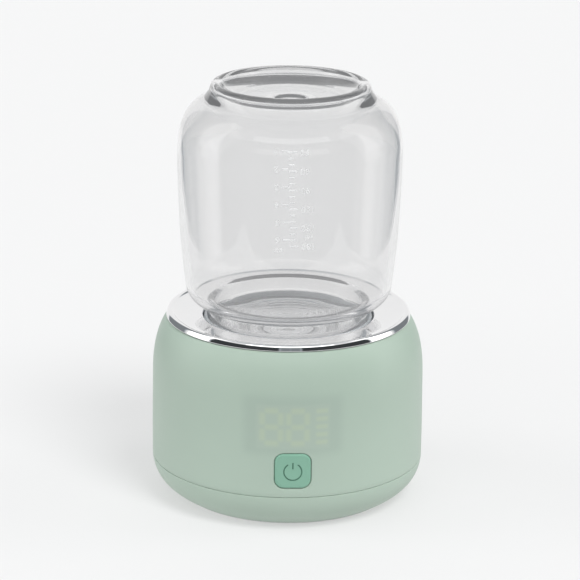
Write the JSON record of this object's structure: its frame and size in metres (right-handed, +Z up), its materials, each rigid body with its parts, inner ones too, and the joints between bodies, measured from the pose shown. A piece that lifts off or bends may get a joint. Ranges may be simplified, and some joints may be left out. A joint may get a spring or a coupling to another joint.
{
  "type": "bottle warmer",
  "caption": "Round portable bottle warmer with a chrome top plate, power button and display, and a clear glass feeding bottle standing upside down in its neck well.",
  "frame": {"origin": "centre of the foot ring's underside", "axes": "+Z up along the axis of the warmer and bottle, front with the power button towards -Y, charging inlet towards +Y"},
  "size_m": [0.096, 0.0963, 0.148],
  "materials": {
    "mint_housing": "fine satin, slightly translucent",
    "mint_base": "fine satin",
    "mint_button": "satin",
    "chrome": "mirror",
    "steel": "spun",
    "glass": "clear",
    "silicone": "milky, soft satin",
    "white_rubber": "matt",
    "well_plastic": "satin",
    "frame_plastic": "matt",
    "ceramic": "matt ceramic",
    "insulation": "glass fibre",
    "board": "solder mask",
    "chip": "moulded epoxy",
    "cell_wrap": "heat-shrink film",
    "nickel": "plated",
    "red_lead": "wire sleeve",
    "black_lead": "wire sleeve",
    "diffuser": "milky"
  },
  "bodies": {
    "warmer_base": {"housing_shell": "mint_housing", "base_cover": "mint_base", "foot_ring": "white_rubber", "top_plate": "chrome", "neck_well": "well_plastic", "neck_gasket": "silicone", "plate_seal": "silicone", "heating_plate": "steel", "heater_disc": "ceramic", "insulation_pad": "insulation", "heater_clamp": "nickel", "temperature_sensor": "chip", "thermal_fuse": "ceramic", "heater_lead_left": "insulation", "heater_lead_right": "insulation", "battery_tray": "frame_plastic", "battery_cell_1": "cell_wrap", "battery_cell_2": "cell_wrap", "nickel_strip_left": "nickel", "nickel_strip_right": "nickel", "battery_bridge": "frame_plastic", "battery_lead_black": "black_lead", "battery_lead_red": "red_lead", "main_board": "board", "controller_chip": "chip", "power_inductor": "chip", "capacitor_1": "nickel", "capacitor_2": "nickel", "lead_connector": "diffuser", "buzzer": "chip", "display_board": "board", "display_module": "chip", "display_diffuser": "diffuser", "display_ribbon": "diffuser", "switch_body": "chip", "charge_board": "board", "usb_receptacle": "nickel", "usb_tongue": "chip", "port_bracket": "frame_plastic", "cover_screw_1": "nickel", "cover_screw_2": "nickel", "cover_screw_3": "nickel", "cover_screw_4": "nickel", "well_screw_1": "nickel", "well_screw_2": "nickel", "well_screw_3": "nickel"},
    "adapter": {"adapter_ring": "silicone"},
    "bottle": {"glass_bottle": "glass"},
    "button": {"power_button": "mint_button"},
    "plunger": {"switch_plunger": "diffuser"}
  },
  "joints": [
    {"name": "adapter_lift", "type": "slide", "parent": "warmer_base", "child": "adapter", "axis": [0, 0, 1], "range_m": [0, 0.05]},
    {"name": "bottle_lift", "type": "slide", "parent": "adapter", "child": "bottle", "axis": [0, 0, 1], "range_m": [0, 0.08]},
    {"name": "button_press", "type": "slide", "parent": "warmer_base", "child": "button", "axis": [0, 1, 0], "range_m": [0, 0.0006], "stiffness_N_per_m": 2000},
    {"name": "switch_press", "type": "slide", "parent": "warmer_base", "child": "plunger", "axis": [0, 1, 0], "range_m": [0, 0.00026]}
  ],
  "couplings": [
    {"joint": "switch_press", "follows": "button_press", "ratio": 0.42}
  ]
}
